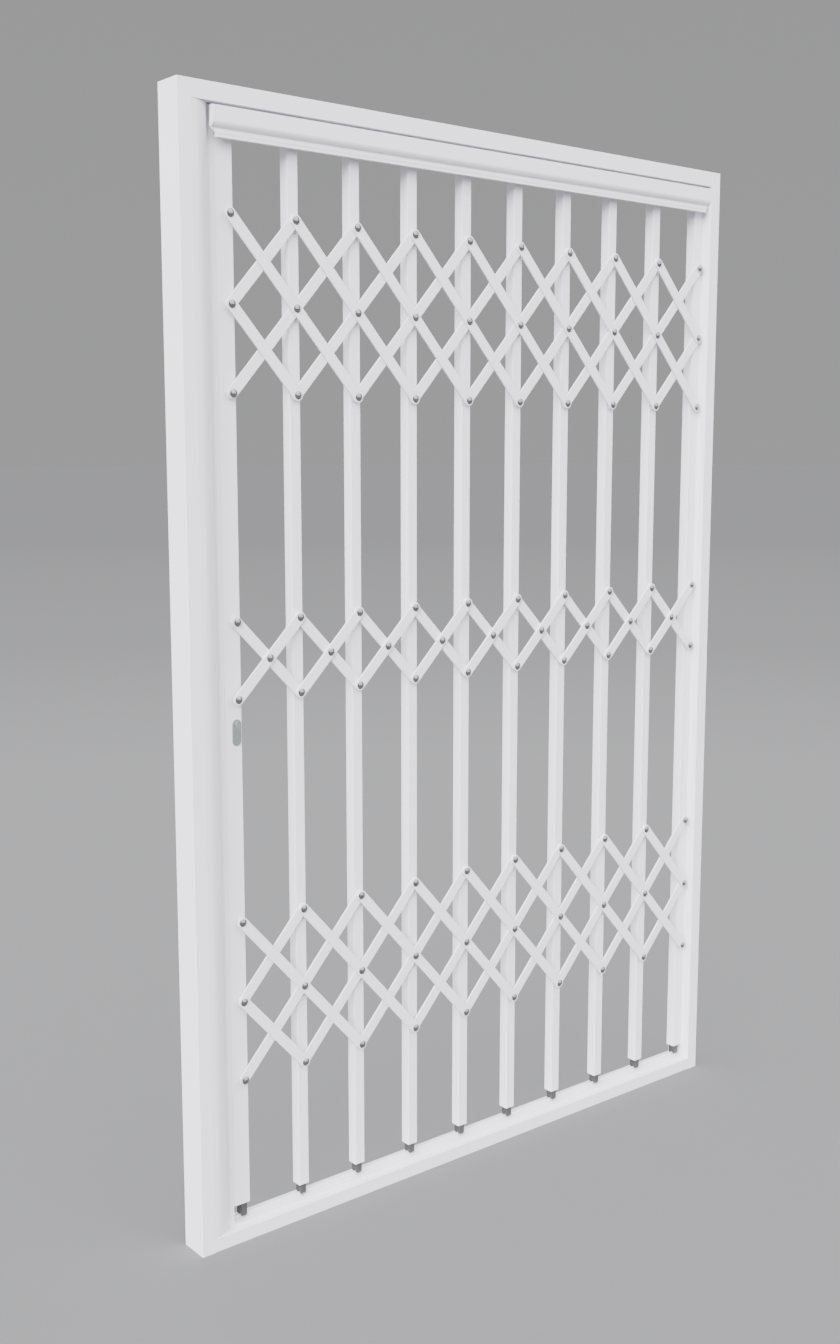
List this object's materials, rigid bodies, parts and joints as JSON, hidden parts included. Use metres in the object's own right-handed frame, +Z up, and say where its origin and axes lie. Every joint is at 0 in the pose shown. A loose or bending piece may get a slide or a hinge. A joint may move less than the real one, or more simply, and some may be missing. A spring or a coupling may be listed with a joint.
{
  "type": "window security grille",
  "caption": "Retractable window security grille: riveted lattice bars and upright pickets in a box-section frame slide aside on a head track to one end.",
  "frame": {"origin": "middle of the sill's underside, on the frame's middle plane", "axes": "+X across the opening to the side the gate folds to, +Y from the front to the back, +Z up"},
  "size_m": [1.2128, 0.055, 1.834],
  "materials": {
    "powder_frame": "semi-gloss white powder coat",
    "powder_receiver": "semi-gloss white powder coat",
    "powder_track": "semi-gloss white powder coat",
    "powder_post": "semi-gloss white powder coat",
    "powder_bar": "semi-gloss white powder coat",
    "rail_aluminium": "semi-gloss white powder coat",
    "hook_steel": "zinc-plated steel",
    "lock_cylinder_metal": "satin nickel",
    "rivet_steel": "polished stainless steel",
    "guide_nylon": "dark moulded nylon",
    "bush_nylon": "natural moulded nylon"
  },
  "bodies": {
    "frame": {"frame_left_jamb": "powder_frame", "frame_right_jamb": "powder_frame", "frame_head": "powder_frame", "frame_sill": "powder_frame", "receiver": "powder_receiver", "top_track": "powder_track", "bottom_track": "rail_aluminium", "end_stile": "powder_post", "middle_lattice": "powder_bar"},
    "picket_8": {"picket_8": "powder_post"},
    "picket_7": {"picket_7": "powder_post"},
    "picket_6": {"picket_6": "powder_post"},
    "picket_5": {"picket_5": "powder_post"},
    "picket_4": {"picket_4": "powder_post"},
    "picket_3": {"picket_3": "powder_post"},
    "picket_2": {"picket_2": "powder_post"},
    "picket_1": {"picket_1": "powder_post"},
    "lead_stile": {"lead_stile": "powder_post"},
    "top_front_bar_0": {"top_front_bar_0": "powder_bar"},
    "top_back_bar_0": {"top_back_bar_0": "powder_bar"},
    "top_front_bar_1": {"top_front_bar_1": "powder_bar"},
    "top_back_bar_1": {"top_back_bar_1": "powder_bar"},
    "top_front_bar_2": {"top_front_bar_2": "powder_bar"},
    "top_back_bar_2": {"top_back_bar_2": "powder_bar"},
    "top_front_bar_3": {"top_front_bar_3": "powder_bar"},
    "top_back_bar_3": {"top_back_bar_3": "powder_bar"},
    "top_front_bar_4": {"top_front_bar_4": "powder_bar"},
    "top_back_bar_4": {"top_back_bar_4": "powder_bar"},
    "top_front_bar_5": {"top_front_bar_5": "powder_bar"},
    "top_back_bar_5": {"top_back_bar_5": "powder_bar"},
    "top_front_bar_6": {"top_front_bar_6": "powder_bar"},
    "top_back_bar_6": {"top_back_bar_6": "powder_bar"},
    "top_front_bar_7": {"top_front_bar_7": "powder_bar"},
    "top_back_bar_7": {"top_back_bar_7": "powder_bar"},
    "top_front_bar_8": {"top_front_bar_8": "powder_bar"},
    "top_back_bar_8": {"top_back_bar_8": "powder_bar"},
    "top_front_bar_9": {"top_front_bar_9": "powder_bar"},
    "top_back_bar_9": {"top_back_bar_9": "powder_bar"},
    "bottom_front_bar_0": {"bottom_front_bar_0": "powder_bar"},
    "bottom_back_bar_0": {"bottom_back_bar_0": "powder_bar"},
    "bottom_front_bar_1": {"bottom_front_bar_1": "powder_bar"},
    "bottom_back_bar_1": {"bottom_back_bar_1": "powder_bar"},
    "bottom_front_bar_2": {"bottom_front_bar_2": "powder_bar"},
    "bottom_back_bar_2": {"bottom_back_bar_2": "powder_bar"},
    "bottom_front_bar_3": {"bottom_front_bar_3": "powder_bar"},
    "bottom_back_bar_3": {"bottom_back_bar_3": "powder_bar"},
    "bottom_front_bar_4": {"bottom_front_bar_4": "powder_bar"},
    "bottom_back_bar_4": {"bottom_back_bar_4": "powder_bar"},
    "bottom_front_bar_5": {"bottom_front_bar_5": "powder_bar"},
    "bottom_back_bar_5": {"bottom_back_bar_5": "powder_bar"},
    "bottom_front_bar_6": {"bottom_front_bar_6": "powder_bar"},
    "bottom_back_bar_6": {"bottom_back_bar_6": "powder_bar"},
    "bottom_front_bar_7": {"bottom_front_bar_7": "powder_bar"},
    "bottom_back_bar_7": {"bottom_back_bar_7": "powder_bar"},
    "bottom_front_bar_8": {"bottom_front_bar_8": "powder_bar"},
    "bottom_back_bar_8": {"bottom_back_bar_8": "powder_bar"},
    "bottom_front_bar_9": {"bottom_front_bar_9": "powder_bar"},
    "bottom_back_bar_9": {"bottom_back_bar_9": "powder_bar"},
    "key": {"lock_cylinder": "lock_cylinder_metal"},
    "hook": {"hook_bolt": "hook_steel"}
  },
  "joints": [
    {"name": "picket_8_slide", "type": "slide", "parent": "frame", "child": "picket_8", "axis": [1, 0, 0], "range_m": [0, 0.095], "deforming": ["middle_lattice"]},
    {"name": "picket_7_slide", "type": "slide", "parent": "picket_8", "child": "picket_7", "axis": [1, 0, 0], "range_m": [0, 0.095]},
    {"name": "picket_6_slide", "type": "slide", "parent": "picket_7", "child": "picket_6", "axis": [1, 0, 0], "range_m": [0, 0.095]},
    {"name": "picket_5_slide", "type": "slide", "parent": "picket_6", "child": "picket_5", "axis": [1, 0, 0], "range_m": [0, 0.095]},
    {"name": "picket_4_slide", "type": "slide", "parent": "picket_5", "child": "picket_4", "axis": [1, 0, 0], "range_m": [0, 0.095]},
    {"name": "picket_3_slide", "type": "slide", "parent": "picket_4", "child": "picket_3", "axis": [1, 0, 0], "range_m": [0, 0.095]},
    {"name": "picket_2_slide", "type": "slide", "parent": "picket_3", "child": "picket_2", "axis": [1, 0, 0], "range_m": [0, 0.095]},
    {"name": "picket_1_slide", "type": "slide", "parent": "picket_2", "child": "picket_1", "axis": [1, 0, 0], "range_m": [0, 0.095]},
    {"name": "lead_stile_slide", "type": "slide", "parent": "picket_1", "child": "lead_stile", "axis": [1, 0, 0], "range_m": [0, 0.095]},
    {"name": "top_front_bar_0_pivot", "type": "hinge", "parent": "lead_stile", "child": "top_front_bar_0", "pos_m": [-0.51135, -0.0142, 1.518], "axis": [0, 1, 0], "range_deg": [0, 33.85]},
    {"name": "top_back_bar_0_pivot", "type": "hinge", "parent": "lead_stile", "child": "top_back_bar_0", "pos_m": [-0.51135, -0.0109, 1.518], "axis": [0, -1, 0], "range_deg": [0, 33.85]},
    {"name": "top_front_bar_1_pivot", "type": "hinge", "parent": "picket_1", "child": "top_front_bar_1", "pos_m": [-0.39135, -0.0142, 1.518], "axis": [0, 1, 0], "range_deg": [0, 33.85]},
    {"name": "top_back_bar_1_pivot", "type": "hinge", "parent": "picket_1", "child": "top_back_bar_1", "pos_m": [-0.39135, -0.0109, 1.518], "axis": [0, -1, 0], "range_deg": [0, 33.85]},
    {"name": "top_front_bar_2_pivot", "type": "hinge", "parent": "picket_2", "child": "top_front_bar_2", "pos_m": [-0.27135, -0.0142, 1.518], "axis": [0, 1, 0], "range_deg": [0, 33.85]},
    {"name": "top_back_bar_2_pivot", "type": "hinge", "parent": "picket_2", "child": "top_back_bar_2", "pos_m": [-0.27135, -0.0109, 1.518], "axis": [0, -1, 0], "range_deg": [0, 33.85]},
    {"name": "top_front_bar_3_pivot", "type": "hinge", "parent": "picket_3", "child": "top_front_bar_3", "pos_m": [-0.15135, -0.0142, 1.518], "axis": [0, 1, 0], "range_deg": [0, 33.85]},
    {"name": "top_back_bar_3_pivot", "type": "hinge", "parent": "picket_3", "child": "top_back_bar_3", "pos_m": [-0.15135, -0.0109, 1.518], "axis": [0, -1, 0], "range_deg": [0, 33.85]},
    {"name": "top_front_bar_4_pivot", "type": "hinge", "parent": "picket_4", "child": "top_front_bar_4", "pos_m": [-0.03135, -0.0142, 1.518], "axis": [0, 1, 0], "range_deg": [0, 33.85]},
    {"name": "top_back_bar_4_pivot", "type": "hinge", "parent": "picket_4", "child": "top_back_bar_4", "pos_m": [-0.03135, -0.0109, 1.518], "axis": [0, -1, 0], "range_deg": [0, 33.85]},
    {"name": "top_front_bar_5_pivot", "type": "hinge", "parent": "picket_5", "child": "top_front_bar_5", "pos_m": [0.08865, -0.0142, 1.518], "axis": [0, 1, 0], "range_deg": [0, 33.85]},
    {"name": "top_back_bar_5_pivot", "type": "hinge", "parent": "picket_5", "child": "top_back_bar_5", "pos_m": [0.08865, -0.0109, 1.518], "axis": [0, -1, 0], "range_deg": [0, 33.85]},
    {"name": "top_front_bar_6_pivot", "type": "hinge", "parent": "picket_6", "child": "top_front_bar_6", "pos_m": [0.20865, -0.0142, 1.518], "axis": [0, 1, 0], "range_deg": [0, 33.85]},
    {"name": "top_back_bar_6_pivot", "type": "hinge", "parent": "picket_6", "child": "top_back_bar_6", "pos_m": [0.20865, -0.0109, 1.518], "axis": [0, -1, 0], "range_deg": [0, 33.85]},
    {"name": "top_front_bar_7_pivot", "type": "hinge", "parent": "picket_7", "child": "top_front_bar_7", "pos_m": [0.32865, -0.0142, 1.518], "axis": [0, 1, 0], "range_deg": [0, 33.85]},
    {"name": "top_back_bar_7_pivot", "type": "hinge", "parent": "picket_7", "child": "top_back_bar_7", "pos_m": [0.32865, -0.0109, 1.518], "axis": [0, -1, 0], "range_deg": [0, 33.85]},
    {"name": "top_front_bar_8_pivot", "type": "hinge", "parent": "picket_8", "child": "top_front_bar_8", "pos_m": [0.44865, -0.0142, 1.518], "axis": [0, 1, 0], "range_deg": [0, 33.85]},
    {"name": "top_back_bar_8_pivot", "type": "hinge", "parent": "picket_8", "child": "top_back_bar_8", "pos_m": [0.44865, -0.0109, 1.518], "axis": [0, -1, 0], "range_deg": [0, 33.85]},
    {"name": "top_front_bar_9_pivot", "type": "hinge", "parent": "frame", "child": "top_front_bar_9", "pos_m": [0.56865, -0.0142, 1.518], "axis": [0, 1, 0], "range_deg": [0, 33.85]},
    {"name": "top_back_bar_9_pivot", "type": "hinge", "parent": "frame", "child": "top_back_bar_9", "pos_m": [0.56865, -0.0109, 1.518], "axis": [0, -1, 0], "range_deg": [0, 33.85]},
    {"name": "bottom_front_bar_0_pivot", "type": "hinge", "parent": "lead_stile", "child": "bottom_front_bar_0", "pos_m": [-0.51135, -0.0142, 0.407], "axis": [0, 1, 0], "range_deg": [0, 33.85]},
    {"name": "bottom_back_bar_0_pivot", "type": "hinge", "parent": "lead_stile", "child": "bottom_back_bar_0", "pos_m": [-0.51135, -0.0109, 0.407], "axis": [0, -1, 0], "range_deg": [0, 33.85]},
    {"name": "bottom_front_bar_1_pivot", "type": "hinge", "parent": "picket_1", "child": "bottom_front_bar_1", "pos_m": [-0.39135, -0.0142, 0.407], "axis": [0, 1, 0], "range_deg": [0, 33.85]},
    {"name": "bottom_back_bar_1_pivot", "type": "hinge", "parent": "picket_1", "child": "bottom_back_bar_1", "pos_m": [-0.39135, -0.0109, 0.407], "axis": [0, -1, 0], "range_deg": [0, 33.85]},
    {"name": "bottom_front_bar_2_pivot", "type": "hinge", "parent": "picket_2", "child": "bottom_front_bar_2", "pos_m": [-0.27135, -0.0142, 0.407], "axis": [0, 1, 0], "range_deg": [0, 33.85]},
    {"name": "bottom_back_bar_2_pivot", "type": "hinge", "parent": "picket_2", "child": "bottom_back_bar_2", "pos_m": [-0.27135, -0.0109, 0.407], "axis": [0, -1, 0], "range_deg": [0, 33.85]},
    {"name": "bottom_front_bar_3_pivot", "type": "hinge", "parent": "picket_3", "child": "bottom_front_bar_3", "pos_m": [-0.15135, -0.0142, 0.407], "axis": [0, 1, 0], "range_deg": [0, 33.85]},
    {"name": "bottom_back_bar_3_pivot", "type": "hinge", "parent": "picket_3", "child": "bottom_back_bar_3", "pos_m": [-0.15135, -0.0109, 0.407], "axis": [0, -1, 0], "range_deg": [0, 33.85]},
    {"name": "bottom_front_bar_4_pivot", "type": "hinge", "parent": "picket_4", "child": "bottom_front_bar_4", "pos_m": [-0.03135, -0.0142, 0.407], "axis": [0, 1, 0], "range_deg": [0, 33.85]},
    {"name": "bottom_back_bar_4_pivot", "type": "hinge", "parent": "picket_4", "child": "bottom_back_bar_4", "pos_m": [-0.03135, -0.0109, 0.407], "axis": [0, -1, 0], "range_deg": [0, 33.85]},
    {"name": "bottom_front_bar_5_pivot", "type": "hinge", "parent": "picket_5", "child": "bottom_front_bar_5", "pos_m": [0.08865, -0.0142, 0.407], "axis": [0, 1, 0], "range_deg": [0, 33.85]},
    {"name": "bottom_back_bar_5_pivot", "type": "hinge", "parent": "picket_5", "child": "bottom_back_bar_5", "pos_m": [0.08865, -0.0109, 0.407], "axis": [0, -1, 0], "range_deg": [0, 33.85]},
    {"name": "bottom_front_bar_6_pivot", "type": "hinge", "parent": "picket_6", "child": "bottom_front_bar_6", "pos_m": [0.20865, -0.0142, 0.407], "axis": [0, 1, 0], "range_deg": [0, 33.85]},
    {"name": "bottom_back_bar_6_pivot", "type": "hinge", "parent": "picket_6", "child": "bottom_back_bar_6", "pos_m": [0.20865, -0.0109, 0.407], "axis": [0, -1, 0], "range_deg": [0, 33.85]},
    {"name": "bottom_front_bar_7_pivot", "type": "hinge", "parent": "picket_7", "child": "bottom_front_bar_7", "pos_m": [0.32865, -0.0142, 0.407], "axis": [0, 1, 0], "range_deg": [0, 33.85]},
    {"name": "bottom_back_bar_7_pivot", "type": "hinge", "parent": "picket_7", "child": "bottom_back_bar_7", "pos_m": [0.32865, -0.0109, 0.407], "axis": [0, -1, 0], "range_deg": [0, 33.85]},
    {"name": "bottom_front_bar_8_pivot", "type": "hinge", "parent": "picket_8", "child": "bottom_front_bar_8", "pos_m": [0.44865, -0.0142, 0.407], "axis": [0, 1, 0], "range_deg": [0, 33.85]},
    {"name": "bottom_back_bar_8_pivot", "type": "hinge", "parent": "picket_8", "child": "bottom_back_bar_8", "pos_m": [0.44865, -0.0109, 0.407], "axis": [0, -1, 0], "range_deg": [0, 33.85]},
    {"name": "bottom_front_bar_9_pivot", "type": "hinge", "parent": "frame", "child": "bottom_front_bar_9", "pos_m": [0.56865, -0.0142, 0.407], "axis": [0, 1, 0], "range_deg": [0, 33.85]},
    {"name": "bottom_back_bar_9_pivot", "type": "hinge", "parent": "frame", "child": "bottom_back_bar_9", "pos_m": [0.56865, -0.0109, 0.407], "axis": [0, -1, 0], "range_deg": [0, 33.85]},
    {"name": "key_turn", "type": "hinge", "parent": "lead_stile", "child": "key", "pos_m": [-0.51135, -0.0077, 0.86635], "axis": [0, -1, 0], "range_deg": [0, 90]},
    {"name": "hook_throw", "type": "hinge", "parent": "lead_stile", "child": "hook", "pos_m": [-0.51835, 0.0035, 0.82], "axis": [0, -1, 0], "range_deg": [0, 90]}
  ],
  "couplings": [
    {"joint": "picket_7_slide", "follows": "picket_8_slide", "ratio": 1},
    {"joint": "picket_6_slide", "follows": "picket_8_slide", "ratio": 1},
    {"joint": "picket_5_slide", "follows": "picket_8_slide", "ratio": 1},
    {"joint": "picket_4_slide", "follows": "picket_8_slide", "ratio": 1},
    {"joint": "picket_3_slide", "follows": "picket_8_slide", "ratio": 1},
    {"joint": "picket_2_slide", "follows": "picket_8_slide", "ratio": 1},
    {"joint": "picket_1_slide", "follows": "picket_8_slide", "ratio": 1},
    {"joint": "lead_stile_slide", "follows": "picket_8_slide", "ratio": 1},
    {"joint": "top_front_bar_0_pivot", "follows": "picket_8_slide", "rad_per_m": 6.2146},
    {"joint": "top_back_bar_0_pivot", "follows": "picket_8_slide", "rad_per_m": 6.2146},
    {"joint": "top_front_bar_1_pivot", "follows": "picket_8_slide", "rad_per_m": 6.2146},
    {"joint": "top_back_bar_1_pivot", "follows": "picket_8_slide", "rad_per_m": 6.2146},
    {"joint": "top_front_bar_2_pivot", "follows": "picket_8_slide", "rad_per_m": 6.2146},
    {"joint": "top_back_bar_2_pivot", "follows": "picket_8_slide", "rad_per_m": 6.2146},
    {"joint": "top_front_bar_3_pivot", "follows": "picket_8_slide", "rad_per_m": 6.2146},
    {"joint": "top_back_bar_3_pivot", "follows": "picket_8_slide", "rad_per_m": 6.2146},
    {"joint": "top_front_bar_4_pivot", "follows": "picket_8_slide", "rad_per_m": 6.2146},
    {"joint": "top_back_bar_4_pivot", "follows": "picket_8_slide", "rad_per_m": 6.2146},
    {"joint": "top_front_bar_5_pivot", "follows": "picket_8_slide", "rad_per_m": 6.2146},
    {"joint": "top_back_bar_5_pivot", "follows": "picket_8_slide", "rad_per_m": 6.2146},
    {"joint": "top_front_bar_6_pivot", "follows": "picket_8_slide", "rad_per_m": 6.2146},
    {"joint": "top_back_bar_6_pivot", "follows": "picket_8_slide", "rad_per_m": 6.2146},
    {"joint": "top_front_bar_7_pivot", "follows": "picket_8_slide", "rad_per_m": 6.2146},
    {"joint": "top_back_bar_7_pivot", "follows": "picket_8_slide", "rad_per_m": 6.2146},
    {"joint": "top_front_bar_8_pivot", "follows": "picket_8_slide", "rad_per_m": 6.2146},
    {"joint": "top_back_bar_8_pivot", "follows": "picket_8_slide", "rad_per_m": 6.2146},
    {"joint": "top_front_bar_9_pivot", "follows": "picket_8_slide", "rad_per_m": 6.2146},
    {"joint": "top_back_bar_9_pivot", "follows": "picket_8_slide", "rad_per_m": 6.2146},
    {"joint": "bottom_front_bar_0_pivot", "follows": "picket_8_slide", "rad_per_m": 6.2146},
    {"joint": "bottom_back_bar_0_pivot", "follows": "picket_8_slide", "rad_per_m": 6.2146},
    {"joint": "bottom_front_bar_1_pivot", "follows": "picket_8_slide", "rad_per_m": 6.2146},
    {"joint": "bottom_back_bar_1_pivot", "follows": "picket_8_slide", "rad_per_m": 6.2146},
    {"joint": "bottom_front_bar_2_pivot", "follows": "picket_8_slide", "rad_per_m": 6.2146},
    {"joint": "bottom_back_bar_2_pivot", "follows": "picket_8_slide", "rad_per_m": 6.2146},
    {"joint": "bottom_front_bar_3_pivot", "follows": "picket_8_slide", "rad_per_m": 6.2146},
    {"joint": "bottom_back_bar_3_pivot", "follows": "picket_8_slide", "rad_per_m": 6.2146},
    {"joint": "bottom_front_bar_4_pivot", "follows": "picket_8_slide", "rad_per_m": 6.2146},
    {"joint": "bottom_back_bar_4_pivot", "follows": "picket_8_slide", "rad_per_m": 6.2146},
    {"joint": "bottom_front_bar_5_pivot", "follows": "picket_8_slide", "rad_per_m": 6.2146},
    {"joint": "bottom_back_bar_5_pivot", "follows": "picket_8_slide", "rad_per_m": 6.2146},
    {"joint": "bottom_front_bar_6_pivot", "follows": "picket_8_slide", "rad_per_m": 6.2146},
    {"joint": "bottom_back_bar_6_pivot", "follows": "picket_8_slide", "rad_per_m": 6.2146},
    {"joint": "bottom_front_bar_7_pivot", "follows": "picket_8_slide", "rad_per_m": 6.2146},
    {"joint": "bottom_back_bar_7_pivot", "follows": "picket_8_slide", "rad_per_m": 6.2146},
    {"joint": "bottom_front_bar_8_pivot", "follows": "picket_8_slide", "rad_per_m": 6.2146},
    {"joint": "bottom_back_bar_8_pivot", "follows": "picket_8_slide", "rad_per_m": 6.2146},
    {"joint": "bottom_front_bar_9_pivot", "follows": "picket_8_slide", "rad_per_m": 6.2146},
    {"joint": "bottom_back_bar_9_pivot", "follows": "picket_8_slide", "rad_per_m": 6.2146},
    {"joint": "key_turn", "follows": "hook_throw", "ratio": 1}
  ]
}
